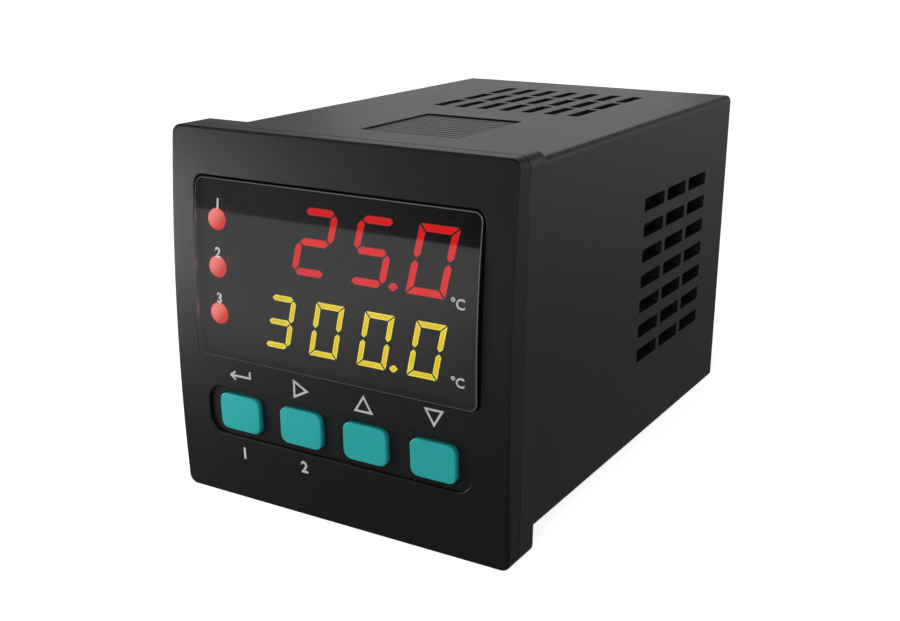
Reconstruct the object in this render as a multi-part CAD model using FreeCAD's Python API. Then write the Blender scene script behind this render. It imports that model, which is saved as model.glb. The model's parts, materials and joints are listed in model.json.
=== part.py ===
import FreeCAD, Part
import math
import os

# Panel-mounted temperature controller with a 48 x 48 mm front.
# X runs to the right as seen from the front, Y runs backwards, Z runs up.
# The origin is the centre of the collar's rear face, which lies on the panel.

V = FreeCAD.Vector

# Front and collar
FRONT_SIZE = 48.0
CORNER_R = 1.2
COLLAR_THICK = 3.6
BEZEL_EDGE_DEPTH = 5.93
CROWN = 1.07
FRONT_EDGE_R = 0.3
SEAM_EDGE = 0.12
OVERCUT = 1.0
OPENING_EDGE_R = 0.18
BEZEL_INNER_DEPTH = 4.3
SKIRT_WALL = 1.0
SKIRT_LENGTH = 3.3
POST_R = 1.0

# Sleeve behind the panel
SLEEVE_WIDTH = 45.4
SLEEVE_HEIGHT = 45.1
SLEEVE_RISE = 0.27
SLEEVE_LENGTH = 67.1
SLEEVE_EDGE_R = 0.8
SLEEVE_WALL = 1.8
SLEEVE_INNER_R = 0.6

# Ventilation slots in all four walls
VENT_COUNT = 7
VENT_COLUMNS = 3
VENT_REAR = 33.3
VENT_LENGTH = 7.2
VENT_COLUMN_PITCH = 8.35
TOP_VENT_WIDTH = 1.65
TOP_VENT_PITCH = 3.48
TOP_VENT_SHIFT = 1.1
SIDE_VENT_WIDTH = 1.84
SIDE_VENT_PITCH = 3.545
SIDE_VENT_RISE = 1.2
VENT_CORNER_R = 0.3

# Toothed seats for the clamp, in the top and the bottom
RATCHET_X = 1.0
RATCHET_WIDTH = 14.4
RATCHET_START = 9.1
RATCHET_DEPTH = 0.22
TOOTH_COUNT = 12
TOOTH_PITCH = 1.4
TOOTH_HEIGHT = 0.035

# Display window
WINDOW_WIDTH = 40.6
WINDOW_TOP = 18.2
WINDOW_BOTTOM = -4.75
WINDOW_CORNER_R = 1.3
WINDOW_GAP = 0.2
WINDOW_FOOT_GAP = 0.05
WINDOW_SEAT_DEPTH = 5.5
WINDOW_LEDGE = 0.55
WINDOW_EDGE_R = 0.16
LENS_DEPTH_TOP = 6.47
LENS_DEPTH_MIDDLE = 7.42
LENS_DEPTH_BOTTOM = 7.2

# Keys and their common recess
KEY_PITCH = 9.45
KEY_Z = -11.95
KEY_WIDTH = 6.25
KEY_HEIGHT = 4.85
KEY_CORNER_R = 1.1
KEY_EDGE_R = 0.22
KEY_PROUD = 0.12
KEY_GAP = 0.12
KEY_COLLAR_WIDTH = 7.7
KEY_COLLAR_HEIGHT = 6.3
KEY_COLLAR_THICK = 0.8
KEY_COLLAR_GAP = 0.1
KEY_STEM_R = 1.5
RECESS_WIDTH = 38.4
RECESS_TOP = -8.8
RECESS_BOTTOM = -15.25
RECESS_CORNER_R = 2.2
RECESS_DEPTH = 0.45

# Tactile switches under the keys
SWITCH_SIZE = 6.0
SWITCH_HEIGHT = 3.5
SWITCH_LEG_WIDTH = 0.7
SWITCH_LEG_REACH = 0.9
SWITCH_LEG_SPACING = 4.5
SWITCH_LEG_THICK = 0.25
PLUNGER_R = 1.7
PLUNGER_GAP = 0.06
PLUNGER_PROUD = 0.8
PLUNGER_INSERT = 1.1
PLUNGER_WELL = 1.8

# Circuit boards
DISPLAY_BOARD_Y = 2.6
DISPLAY_BOARD_THICK = 1.2
DISPLAY_BOARD_GAP = 1.3
BOARD_THICK = 1.6
BOARD_INNER_X = 13.8
BOARD_FRONT_GAP = 0.8
BOARD_EDGE_GAP = 0.18
BOARD_REAR_GAP = 0.2
RAIL_WIDTH = 1.0
RAIL_HEIGHT = 1.5
RAIL_GAP = 0.1
RAIL_START = 8.0
REAR_SPACE = 4.5
TERMINAL_BOARD_THICK = 1.6

# Seven-segment displays
FACE_GAP = 0.1
SEGMENT_SINK = 0.5
SEGMENT_GAP = 0.18
POINT_SHIFT = 0.7
UPPER_DIGIT_HEIGHT = 8.28
UPPER_DIGIT_WIDTH = 5.2
UPPER_STROKE = 0.91
UPPER_SLANT = 12.4
UPPER_PITCH = 8.03
UPPER_CENTRE_X = 1.46
UPPER_CENTRE_Z = 11.59
UPPER_POINT_LENGTH = 1.42
UPPER_POINT_HEIGHT = 0.93
UPPER_MARGIN = 1.15
LOWER_DIGIT_HEIGHT = 6.78
LOWER_DIGIT_WIDTH = 4.05
LOWER_STROKE = 0.72
LOWER_SLANT = 11.5
LOWER_PITCH = 6.94
LOWER_CENTRE_X = 2.51
LOWER_CENTRE_Z = 1.13
LOWER_POINT_LENGTH = 1.17
LOWER_POINT_HEIGHT = 0.83
LOWER_MARGIN = 1.1

# Status lamps
LAMP_X = -17.8
LAMP_TOP_Z = 12.5
LAMP_PITCH = 5.97
LAMP_R = 1.35
LAMP_TIP_GAP = 0.05
LAMP_DOME = 0.6
LAMP_BARREL = 3.95
LAMP_RIM_R = 1.5
LAMP_RIM_THICK = 1.0
LAMP_LEAD = 0.45
LAMP_LEAD_SPACING = 1.8
LAMP_HOLDER_HALF = 1.8
LAMP_HOLDER_GAP = 0.05

# Pin headers between the boards
HEADER_SIZE = 2.5
HEADER_PITCH = 2.54
HEADER_PIN = 0.64
HEADER_HOLE_R = 0.5
MAIN_HEADER_PINS = 10
POWER_HEADER_PINS = 6

# Power supply parts
CORE_LENGTH = 16.2
CORE_DEPTH = 14.5
CORE_THICK = 4.8
CORE_LEG = 2.6
CORE_CENTRE_LEG = 4.2
CORE_YOKE = 2.3
CORE_Y = 35.6
CORE_HEIGHT = 7.2
BOBBIN_WALL = 0.8
BOBBIN_FIT = 0.1
BOBBIN_FLANGE_HEIGHT = 12.0
WINDING_THICK = 2.0
BULK_CAP_R = 5.0
BULK_CAP_LENGTH = 16.0
BULK_CAP_Y = 20.8
BULK_CAP_Z = 1.0
SMALL_CAP_R = 4.0
SMALL_CAP_LENGTH = 11.0
SMALL_CAP_Y = 11.3
SMALL_CAP_Z = (12.0, 2.5)
FILM_CAP_SIZE = (11.0, 13.0, 5.0)
FILM_CAP_PLACE = (16.0, 10.3)
VARISTOR_R = 4.0
VARISTOR_THICK = 3.2
VARISTOR_REAR = 5.0
VARISTOR_Z = -1.0
FUSE_R = 4.1
FUSE_LENGTH = 7.7
FUSE_REAR = 1.0
FUSE_FOOT_GAP = 2.4
BRIDGE_SIZE = (3.3, 6.4, 8.4)
BRIDGE_REAR = 3.0
BRIDGE_Z = 6.0
REGULATOR_SIZE = (3.4, 9.3, 6.4)
REGULATOR_PLACE = (29.0, -15.9)

# Measuring and control parts
RELAY_SIZE = (10.5, 18.0, 10.0)
RELAY_REAR = 1.0
RELAY_SPLIT = 0.6
CONTROLLER_SIZE = 10.0
CONTROLLER_THICK = 1.4
CONTROLLER_PLACE = (12.0, -5.0)
CONTROLLER_LEAD_COUNT = 11
CONVERTER_SIZE = (1.6, 10.0, 4.0)
CONVERTER_PLACE = (12.0, 9.6)
CONVERTER_LEAD_COUNT = 8
CONTROLLER_LEAD_PITCH = 0.8
CONVERTER_LEAD_PITCH = 1.1
CRYSTAL_SIZE = (3.6, 4.6, 11.0)
CRYSTAL_PLACE = (26.0, -5.5)
COUPLER_SIZE = (3.5, 4.6, 6.4)
COUPLER_REAR = 23.8
COUPLER_Z = (-12.5, 6.5)

# Rear cover and terminals
COVER_THICK = 2.0
COVER_FIT = 0.1
COVER_RIM = 1.2
BLOCK_INNER_X = 8.0
BLOCK_WIDTH = 10.4
BLOCK_DEPTH = 13.0
BLOCK_END = 0.5
BLOCK_EDGE_R = 0.5
TERMINAL_COUNT = 6
TERMINAL_PITCH = 6.2
CAGE_WIDTH = 5.0
CAGE_SIDE = 4.2
CAGE_HEIGHT = 5.3
CAGE_FLOOR = 1.6
CAGE_GAP = 0.1
CAGE_INSET = 2.4
WIRE_HOLE = 3.0
SCREW_R = 1.25
SCREW_HEAD_R = 1.9
SCREW_HEAD_THICK = 1.6
SCREW_HEAD_EDGE = 0.3
SCREW_WELL_GAP = 0.15
SCREW_SLOT = 0.7
SCREW_TIP = 1.9
SHOULDER_THICK = 1.9
PIN_WIDTH = 1.0
PIN_THICK = 0.8
PIN_GAP = 0.1

# Places worked out from the sizes above
HALF_FRONT = FRONT_SIZE / 2
CAVITY_HALF_X = SLEEVE_WIDTH / 2 - SLEEVE_WALL
CAVITY_HALF_Z = SLEEVE_HEIGHT / 2 - SLEEVE_WALL
CAVITY_TOP = SLEEVE_RISE + CAVITY_HALF_Z
CAVITY_BOTTOM = SLEEVE_RISE - CAVITY_HALF_Z
FRONT_APEX = BEZEL_EDGE_DEPTH + CROWN
FRONT_RADIUS = (HALF_FRONT ** 2 + CROWN ** 2) / (2 * CROWN)
FACE_Y = -WINDOW_SEAT_DEPTH + FACE_GAP
BOARD_START = DISPLAY_BOARD_Y + DISPLAY_BOARD_THICK + BOARD_FRONT_GAP
TERMINAL_BOARD_Y = SLEEVE_LENGTH - REAR_SPACE
BOARD_END = TERMINAL_BOARD_Y - BOARD_REAR_GAP
SWITCH_FRONT = DISPLAY_BOARD_Y - SWITCH_HEIGHT
PLUNGER_FRONT = SWITCH_FRONT - PLUNGER_PROUD
KEY_NAMES = ("set", "shift", "up", "down")
LAMP_NAMES = ("upper", "middle", "lower")


def box(x0, x1, y0, y1, z0, z1):
    """A box between two corners."""
    return Part.makeBox(x1 - x0, y1 - y0, z1 - z0, V(x0, y0, z0))


def rod(radius, start, direction, length):
    """A round bar from a start point."""
    return Part.makeCylinder(radius, length, V(*start), V(*direction))


def parallel_edges(shape, axis):
    """The straight edges of a shape that run along one axis, given as 0, 1 or 2."""
    found = []
    for edge in shape.Edges:
        if not isinstance(edge.Curve, Part.Line):
            continue
        step = edge.Vertexes[-1].Point - edge.Vertexes[0].Point
        others = [abs(step[i]) for i in range(3) if i != axis]
        if max(others) < 1e-6:
            found.append(edge)
    return found


def rounded(shape, radius, axis):
    """A box with its edges along one axis rounded."""
    return shape.makeFillet(radius, parallel_edges(shape, axis))


def plate(x0, x1, y0, y1, z0, z1, radius):
    """A plate with rounded corners as seen along Y."""
    return rounded(box(x0, x1, y0, y1, z0, z1), radius, 1)


def joined(shapes):
    """Several overlapping shapes as one solid."""
    return shapes[0].multiFuse(shapes[1:]).removeSplitter()


def group(shapes):
    """Separate solids kept together in one file."""
    return Part.makeCompound(shapes)


def front_form(offset):
    """The large horizontal cylinder whose near side is the bowed front."""
    centre_y = FRONT_RADIUS - FRONT_APEX
    return rod(FRONT_RADIUS + offset, (-FRONT_SIZE, centre_y, 0), (1, 0, 0), 2 * FRONT_SIZE)


def front_face_edges(shape, offset, inner):
    """The edges of the bowed face: its outline, or the rims of its openings."""
    wanted = FRONT_RADIUS + offset
    edges = []
    for face in shape.Faces:
        surface = face.Surface
        if not isinstance(surface, Part.Cylinder) or abs(surface.Radius - wanted) > 1e-4:
            continue
        for wire in face.Wires:
            if wire.isSame(face.OuterWire) != inner:
                edges.extend(wire.Edges)
    return edges


def flat_face_edges(shape, y):
    """The edges of the flat face that lies at one Y."""
    edges = []
    for face in shape.Faces:
        box_of = face.BoundBox
        if box_of.YLength < 1e-6 and abs(box_of.YMin - y) < 1e-6:
            edges.extend(face.Edges)
    return edges


def row_places(count, pitch, centre):
    """Centres of a row of equal steps."""
    return [centre + (i - (count - 1) / 2) * pitch for i in range(count)]


def key_places():
    return row_places(len(KEY_NAMES), KEY_PITCH, 0.0)


def lamp_places():
    return [LAMP_TOP_Z - i * LAMP_PITCH for i in range(len(LAMP_NAMES))]


def vent_cuts():
    """Slots through the four walls, in three columns one behind the other."""
    cuts = []
    reach_x = SLEEVE_WIDTH / 2 + OVERCUT
    reach_z = SLEEVE_HEIGHT / 2 + OVERCUT
    wall = SLEEVE_WALL + 2 * OVERCUT
    for column in range(VENT_COLUMNS):
        y0 = SLEEVE_LENGTH - VENT_REAR + column * VENT_COLUMN_PITCH
        y1 = y0 + VENT_LENGTH
        for x in row_places(VENT_COUNT, TOP_VENT_PITCH, TOP_VENT_SHIFT):
            x0 = x - TOP_VENT_WIDTH / 2
            x1 = x + TOP_VENT_WIDTH / 2
            top = SLEEVE_RISE + reach_z
            low = SLEEVE_RISE - reach_z
            cuts.append(rounded(box(x0, x1, y0, y1, top - wall, top), VENT_CORNER_R, 2))
            cuts.append(rounded(box(x0, x1, y0, y1, low, low + wall), VENT_CORNER_R, 2))
        for z in row_places(VENT_COUNT, SIDE_VENT_PITCH, SIDE_VENT_RISE):
            z0 = z - SIDE_VENT_WIDTH / 2
            z1 = z + SIDE_VENT_WIDTH / 2
            right = box(reach_x - wall, reach_x, y0, y1, z0, z1)
            left = box(-reach_x, wall - reach_x, y0, y1, z0, z1)
            cuts.append(rounded(right, VENT_CORNER_R, 0))
            cuts.append(rounded(left, VENT_CORNER_R, 0))
    return cuts


def ratchet_seat(side):
    """A shallow pocket with saw teeth that stop the clamp from sliding back.

    side is 1 for the top wall and -1 for the bottom wall."""
    surface = SLEEVE_RISE + side * SLEEVE_HEIGHT / 2
    floor = surface - side * RATCHET_DEPTH
    x0 = RATCHET_X - RATCHET_WIDTH / 2
    x1 = RATCHET_X + RATCHET_WIDTH / 2
    y1 = RATCHET_START + TOOTH_COUNT * TOOTH_PITCH
    outside = surface + side
    pocket = box(x0, x1, RATCHET_START, y1, min(floor, outside), max(floor, outside))
    teeth = []
    for i in range(TOOTH_COUNT):
        y = RATCHET_START + i * TOOTH_PITCH
        root = floor - side * RATCHET_DEPTH / 4
        tip = floor + side * TOOTH_HEIGHT
        points = [V(x0, y, root), V(x0, y, tip), V(x0, y + TOOTH_PITCH, floor)]
        points += [V(x0, y + TOOTH_PITCH, root), V(x0, y, root)]
        profile = Part.Face(Part.makePolygon(points))
        teeth.append(profile.extrude(V(RATCHET_WIDTH, 0, 0)))
    return pocket, teeth


def board_rails():
    """Pairs of ribs that guide the edges of the two long boards."""
    rails = []
    inner = BOARD_INNER_X - RAIL_GAP
    outer = BOARD_INNER_X + BOARD_THICK + RAIL_GAP
    sink = SLEEVE_WALL / 2
    for side in (-1, 1):
        for near in (inner - RAIL_WIDTH, outer):
            x0 = min(side * near, side * (near + RAIL_WIDTH))
            x1 = x0 + RAIL_WIDTH
            heights = [(CAVITY_TOP - RAIL_HEIGHT, CAVITY_TOP + sink),
                       (CAVITY_BOTTOM - sink, CAVITY_BOTTOM + RAIL_HEIGHT)]
            rails += [box(x0, x1, RAIL_START, BOARD_END, foot, head) for foot, head in heights]
    return rails


def make_housing():
    """Collar and sleeve, moulded as one piece, open at the front and the rear."""
    collar = plate(-HALF_FRONT, HALF_FRONT, -COLLAR_THICK, 0, -HALF_FRONT, HALF_FRONT, CORNER_R)
    collar = collar.makeChamfer(SEAM_EDGE, flat_face_edges(collar, -COLLAR_THICK))
    half_x = SLEEVE_WIDTH / 2
    half_z = SLEEVE_HEIGHT / 2
    low = SLEEVE_RISE - half_z
    high = SLEEVE_RISE + half_z
    sleeve = plate(-half_x, half_x, -COLLAR_THICK / 2, SLEEVE_LENGTH, low, high, SLEEVE_EDGE_R)
    hollow = plate(-CAVITY_HALF_X, CAVITY_HALF_X, -COLLAR_THICK - 1, SLEEVE_LENGTH + 1,
                   CAVITY_BOTTOM, CAVITY_TOP, SLEEVE_INNER_R)
    shell = collar.fuse(sleeve).cut(hollow)
    shell = shell.fuse(board_rails())
    pockets = []
    teeth = []
    for side in (1, -1):
        pocket, saw = ratchet_seat(side)
        pockets.append(pocket)
        teeth.extend(saw)
    shell = shell.cut(pockets + vent_cuts())
    return shell.fuse(teeth).removeSplitter()


def window_opening(front, back, margin):
    """The window's outline as a block, smaller by a margin all round."""
    half = WINDOW_WIDTH / 2 - margin
    radius = max(WINDOW_CORNER_R - margin, 0.2)
    return plate(-half, half, front, back, WINDOW_BOTTOM + margin, WINDOW_TOP - margin, radius)


def key_outline(x, front, back, margin):
    """One key's outline as a block, larger by a margin all round."""
    half_x = KEY_WIDTH / 2 + margin
    half_z = KEY_HEIGHT / 2 + margin
    return plate(x - half_x, x + half_x, front, back, KEY_Z - half_z, KEY_Z + half_z, KEY_CORNER_R + margin)


def make_bezel():
    """Front moulding: bowed face, window seat, key recess and key openings."""
    ahead = -FRONT_APEX - 1
    body = plate(-HALF_FRONT, HALF_FRONT, ahead, -COLLAR_THICK, -HALF_FRONT, HALF_FRONT, CORNER_R)
    body = body.common(front_form(0))
    body = body.makeFillet(FRONT_EDGE_R, front_face_edges(body, 0, False))
    body = body.makeChamfer(SEAM_EDGE, flat_face_edges(body, -COLLAR_THICK))
    half = RECESS_WIDTH / 2
    recess = plate(-half, half, ahead, 0, RECESS_BOTTOM, RECESS_TOP, RECESS_CORNER_R)
    recess = recess.cut(front_form(-RECESS_DEPTH))
    body = body.cut([window_opening(ahead, -WINDOW_SEAT_DEPTH, 0), recess])
    body = body.makeFillet(OPENING_EDGE_R, front_face_edges(body, 0, True))
    hollow = plate(-CAVITY_HALF_X, CAVITY_HALF_X, -BEZEL_INNER_DEPTH, 0,
                   CAVITY_BOTTOM, CAVITY_TOP, SLEEVE_INNER_R)
    cuts = [window_opening(ahead, 0, WINDOW_LEDGE), hollow]
    for x in key_places():
        cuts.append(key_outline(x, ahead, 0, KEY_GAP))
    body = body.cut(cuts)
    fit = COVER_FIT
    back = SKIRT_LENGTH - BEZEL_INNER_DEPTH
    skirt = plate(fit - CAVITY_HALF_X, CAVITY_HALF_X - fit, -BEZEL_INNER_DEPTH, back,
                  CAVITY_BOTTOM + fit, CAVITY_TOP - fit, SLEEVE_INNER_R)
    inside = fit + SKIRT_WALL
    skirt = skirt.cut(box(inside - CAVITY_HALF_X, CAVITY_HALF_X - inside, -BEZEL_INNER_DEPTH - 1, back + 1,
                          CAVITY_BOTTOM + inside, CAVITY_TOP - inside))
    pieces = [body, skirt]
    post_x = CAVITY_HALF_X - inside - POST_R / 2
    post_z = CAVITY_HALF_Z - inside - POST_R / 2
    for side in (-1, 1):
        for end in (-1, 1):
            start = (side * post_x, -BEZEL_INNER_DEPTH, SLEEVE_RISE + end * post_z)
            pieces.append(rod(POST_R, start, (0, 1, 0), BEZEL_INNER_DEPTH + DISPLAY_BOARD_Y))
    return joined(pieces)


def make_window():
    """Tinted window with a gently bowed front, a little proud of the bezel."""
    half = WINDOW_WIDTH / 2 - WINDOW_GAP
    low = WINDOW_BOTTOM + WINDOW_FOOT_GAP
    high = WINDOW_TOP - WINDOW_GAP
    middle = (low + high) / 2
    back = -WINDOW_SEAT_DEPTH
    top_front = V(-half, -LENS_DEPTH_TOP, high)
    low_front = V(-half, -LENS_DEPTH_BOTTOM, low)
    bow = Part.Arc(top_front, V(-half, -LENS_DEPTH_MIDDLE, middle), low_front).toShape()
    sides = Part.makePolygon([low_front, V(-half, back, low), V(-half, back, high), top_front])
    outline = Part.Wire([bow] + sides.Edges)
    lens = Part.Face(outline).extrude(V(2 * half, 0, 0))
    ahead = -LENS_DEPTH_MIDDLE - OVERCUT
    lens = lens.common(plate(-half, half, ahead, back, low, high, WINDOW_CORNER_R - WINDOW_GAP))
    bowed = [face for face in lens.Faces if isinstance(face.Surface, Part.Cylinder)]
    bowed.sort(key=lambda face: face.Area)
    return lens.makeFillet(WINDOW_EDGE_R, bowed[-1].Edges)


def make_key(x):
    """Key cap with its retaining collar and the stem that presses the switch."""
    ahead = -FRONT_APEX - 1
    collar_front = -BEZEL_INNER_DEPTH + KEY_COLLAR_GAP
    collar_back = collar_front + KEY_COLLAR_THICK
    cap = key_outline(x, ahead, collar_back, 0).common(front_form(KEY_PROUD))
    cap = cap.makeFillet(KEY_EDGE_R, front_face_edges(cap, KEY_PROUD, False))
    half_x = KEY_COLLAR_WIDTH / 2
    half_z = KEY_COLLAR_HEIGHT / 2
    collar = plate(x - half_x, x + half_x, collar_front, collar_back,
                   KEY_Z - half_z, KEY_Z + half_z, KEY_CORNER_R)
    stem = rod(KEY_STEM_R, (x, collar_back - KEY_COLLAR_THICK / 2, KEY_Z), (0, 1, 0),
               PLUNGER_FRONT - collar_back + KEY_COLLAR_THICK / 2)
    return joined([cap, collar, stem])


def make_switch(x):
    """Tactile switch case with four flat legs on the display board."""
    half = SWITCH_SIZE / 2
    case = box(x - half, x + half, SWITCH_FRONT, DISPLAY_BOARD_Y, KEY_Z - half, KEY_Z + half)
    well = rod(PLUNGER_R + PLUNGER_GAP, (x, SWITCH_FRONT, KEY_Z), (0, 1, 0), PLUNGER_WELL)
    pieces = [case.cut(well)]
    for side in (-1, 1):
        for end in (-1, 1):
            z = KEY_Z + end * SWITCH_LEG_SPACING / 2
            x0 = x + side * (half - SWITCH_LEG_REACH)
            x1 = x + side * (half + SWITCH_LEG_REACH)
            pieces.append(box(min(x0, x1), max(x0, x1), DISPLAY_BOARD_Y - SWITCH_LEG_THICK, DISPLAY_BOARD_Y,
                              z - SWITCH_LEG_WIDTH / 2, z + SWITCH_LEG_WIDTH / 2))
    return joined(pieces)


def make_plunger(x):
    """Round button of a tactile switch."""
    return rod(PLUNGER_R, (x, PLUNGER_FRONT, KEY_Z), (0, 1, 0), PLUNGER_PROUD + PLUNGER_INSERT)


# Each segment joins two corners of the digit, named by column and row.
# Columns and rows count from -1 to 1, and the middle row is 0.
SEGMENTS = {
    "a": ((-1, 1), (1, 1)),
    "b": ((1, 1), (1, 0)),
    "c": ((1, 0), (1, -1)),
    "d": ((-1, -1), (1, -1)),
    "e": ((-1, 0), (-1, -1)),
    "f": ((-1, 1), (-1, 0)),
    "g": ((-1, 0), (1, 0)),
}
LIT = {" ": "", "0": "abcdef", "2": "abged", "3": "abgcd", "5": "afgcd"}


def segment_outline(start, end, half_x, half_z, stroke, mitred):
    """Outline of one segment before it is slanted.

    Its ends are points, or mitres with a sharp outer corner where mitred is set."""
    across = start[1] == end[1]
    reach = stroke / 2
    cut = SEGMENT_GAP / 2 * math.sqrt(2)
    s = (start[0] * half_x, start[1] * half_z)
    e = (end[0] * half_x, end[1] * half_z)
    if across and s[0] > e[0] or not across and s[1] > e[1]:
        s, e = e, s
        start, end = end, start
    axis = 0 if across else 1
    side = start[1] if across else start[0]
    points = []
    for node, place, sign in ((start, s, 1), (end, e, -1)):
        along = place[axis] + sign * cut
        corner = node[1] != 0
        if mitred and corner and side != 0:
            outer = along - sign * reach
            inner = along + sign * reach
            ends = [(outer, side * reach), (inner, -side * reach)]
        else:
            ends = [(along + sign * reach, side * reach), (along, 0.0), (along + sign * reach, -side * reach)]
            if side == 0:
                ends = [(along + sign * reach, reach), (along, 0.0), (along + sign * reach, -reach)]
        if sign < 0:
            ends.reverse()
        points.extend(ends)
    base = s[1] if across else s[0]
    if across:
        return [(p, base + q) for p, q in points]
    return [(base + q, p) for p, q in points]


def digit_segments(character, centre, width, height, stroke, slant):
    """Lit and dark segments of one digit, as thin prisms sunk in the display's face."""
    half_x = (width - stroke) / 2
    half_z = (height - stroke) / 2
    lean = math.tan(math.radians(slant))
    lit = []
    dark = []
    for name, (start, end) in SEGMENTS.items():
        flat = segment_outline(start, end, half_x, half_z, stroke, character == "0")
        points = [V(centre[0] + x + lean * z, FACE_Y, centre[1] + z) for x, z in flat]
        prism = Part.Face(Part.makePolygon(points + points[:1])).extrude(V(0, SEGMENT_SINK, 0))
        if name in LIT[character]:
            lit.append(prism)
        else:
            dark.append(prism)
    return lit, dark


def point_prism(centre, length, height, lean):
    """Decimal point: a short six-sided bar with a tip at each side, leaning with the digits."""
    reach = length / 2
    half = height / 2
    flat = [(-reach, 0), (half - reach, half), (reach - half, half), (reach, 0), (reach - half, -half),
            (half - reach, -half)]
    points = [V(centre[0] + x + lean * z, FACE_Y, centre[1] + z) for x, z in flat]
    return Part.Face(Part.makePolygon(points + points[:1])).extrude(V(0, SEGMENT_SINK, 0))


def make_display(text, point_after, centre, width, height, stroke, slant, pitch, point_size, margin):
    """A four-digit display: its body, its lit segments and its dark segments."""
    lit = []
    dark = []
    lean = math.tan(math.radians(slant))
    for i, x in enumerate(row_places(len(text), pitch, centre[0])):
        on, off = digit_segments(text[i], (x, centre[1]), width, height, stroke, slant)
        lit.extend(on)
        dark.extend(off)
        low = (point_size[1] - height) / 2
        point_x = x + pitch / 2 + lean * low / 2 - POINT_SHIFT
        point = point_prism((point_x, centre[1] + low), point_size[0], point_size[1], lean)
        if i == point_after:
            lit.append(point)
        else:
            dark.append(point)
    half_x = len(text) * pitch / 2 + SEGMENT_GAP
    half_z = height / 2 + margin
    body = box(centre[0] - half_x, centre[0] + half_x, FACE_Y, DISPLAY_BOARD_Y,
               centre[1] - half_z, centre[1] + half_z)
    return body.cut(lit + dark), group(lit), group(dark)


def make_lamp(z):
    """Round status lamp with a low dome, a rim and two leads."""
    tip = -WINDOW_SEAT_DEPTH + LAMP_TIP_GAP
    shoulder = tip + LAMP_DOME
    dome_r = (LAMP_R ** 2 + LAMP_DOME ** 2) / (2 * LAMP_DOME)
    dome = Part.makeSphere(dome_r, V(LAMP_X, tip + dome_r, z))
    barrel = rod(LAMP_R, (LAMP_X, tip, z), (0, 1, 0), LAMP_DOME + LAMP_BARREL)
    rim_front = shoulder + LAMP_BARREL
    rim = rod(LAMP_RIM_R, (LAMP_X, rim_front, z), (0, 1, 0), LAMP_RIM_THICK)
    pieces = [barrel.common(dome.fuse(rod(LAMP_R, (LAMP_X, shoulder, z), (0, 1, 0), LAMP_BARREL))), rim]
    for side in (-1, 1):
        x = LAMP_X + side * LAMP_LEAD_SPACING / 2
        pieces.append(box(x - LAMP_LEAD / 2, x + LAMP_LEAD / 2, rim_front + LAMP_RIM_THICK / 2,
                          DISPLAY_BOARD_Y, z - LAMP_LEAD / 2, z + LAMP_LEAD / 2))
    return joined(pieces)


def make_lamp_holder():
    """Dark block on the display board that holds the three lamps and keeps their light apart."""
    tip = -WINDOW_SEAT_DEPTH + LAMP_TIP_GAP
    front = tip + LAMP_DOME
    rim_front = front + LAMP_BARREL
    rim_back = rim_front + LAMP_RIM_THICK
    places = lamp_places()
    block = box(LAMP_X - LAMP_HOLDER_HALF, LAMP_X + LAMP_HOLDER_HALF, front, DISPLAY_BOARD_Y,
                places[-1] - LAMP_HOLDER_HALF, places[0] + LAMP_HOLDER_HALF)
    cuts = []
    for z in places:
        cuts.append(rod(LAMP_R + LAMP_HOLDER_GAP, (LAMP_X, front - OVERCUT, z), (0, 1, 0),
                        rim_front - front + OVERCUT))
        cuts.append(rod(LAMP_RIM_R + LAMP_HOLDER_GAP, (LAMP_X, rim_front, z), (0, 1, 0), LAMP_RIM_THICK))
        for side in (-1, 1):
            x = LAMP_X + side * LAMP_LEAD_SPACING / 2
            half = LAMP_LEAD / 2
            lead_end = DISPLAY_BOARD_Y + OVERCUT
            cuts.append(box(x - half, x + half, rim_back - OVERCUT, lead_end, z - half, z + half))
    return block.cut(cuts)


def header_pin_places():
    """Centres of the pins that join the two long boards to the display board."""
    x = BOARD_INNER_X - HEADER_SIZE / 2
    places = [(-x, z) for z in row_places(MAIN_HEADER_PINS, HEADER_PITCH, 0.0)]
    places += [(x, z) for z in row_places(POWER_HEADER_PINS, HEADER_PITCH, 0.0)]
    return places


def make_header(side, count):
    """Plastic strip of a pin header on the inner face of a long board."""
    x0 = min(side * BOARD_INNER_X, side * (BOARD_INNER_X - HEADER_SIZE))
    half = count * HEADER_PITCH / 2
    return box(x0, x0 + HEADER_SIZE, BOARD_START, BOARD_START + HEADER_SIZE, -half, half)


def make_header_pins():
    """Square pins from the headers into the display board."""
    front = DISPLAY_BOARD_Y + PIN_GAP
    half = HEADER_PIN / 2
    pins = [box(x - half, x + half, front, BOARD_START, z - half, z + half) for x, z in header_pin_places()]
    return group(pins)


def make_display_board():
    """Board across the front, with holes for the header pins."""
    half_x = CAVITY_HALF_X - DISPLAY_BOARD_GAP
    half_z = CAVITY_HALF_Z - DISPLAY_BOARD_GAP
    board = plate(-half_x, half_x, DISPLAY_BOARD_Y, DISPLAY_BOARD_Y + DISPLAY_BOARD_THICK,
                  SLEEVE_RISE - half_z, SLEEVE_RISE + half_z, SLEEVE_INNER_R)
    holes = []
    for x, z in header_pin_places():
        holes.append(rod(HEADER_HOLE_R, (x, DISPLAY_BOARD_Y - 1, z), (0, 1, 0), DISPLAY_BOARD_THICK + 2))
    return board.cut(holes)


def make_long_board(side):
    """Board that slides in along the sleeve, on one side."""
    x0 = min(side * BOARD_INNER_X, side * (BOARD_INNER_X + BOARD_THICK))
    return box(x0, x0 + BOARD_THICK, BOARD_START, BOARD_END,
               CAVITY_BOTTOM + BOARD_EDGE_GAP, CAVITY_TOP - BOARD_EDGE_GAP)


def on_power_board(size, y, z):
    """A box that stands on the power board's inner face; size is height, length, width."""
    return box(BOARD_INNER_X - size[0], BOARD_INNER_X, y, y + size[1], z, z + size[2])


def on_main_board(size, y, z, lift=0.0):
    """A box that stands on the main board's inner face; size is height, length, width."""
    return box(-BOARD_INNER_X + lift, -BOARD_INNER_X + size[0], y, y + size[1], z, z + size[2])


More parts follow.
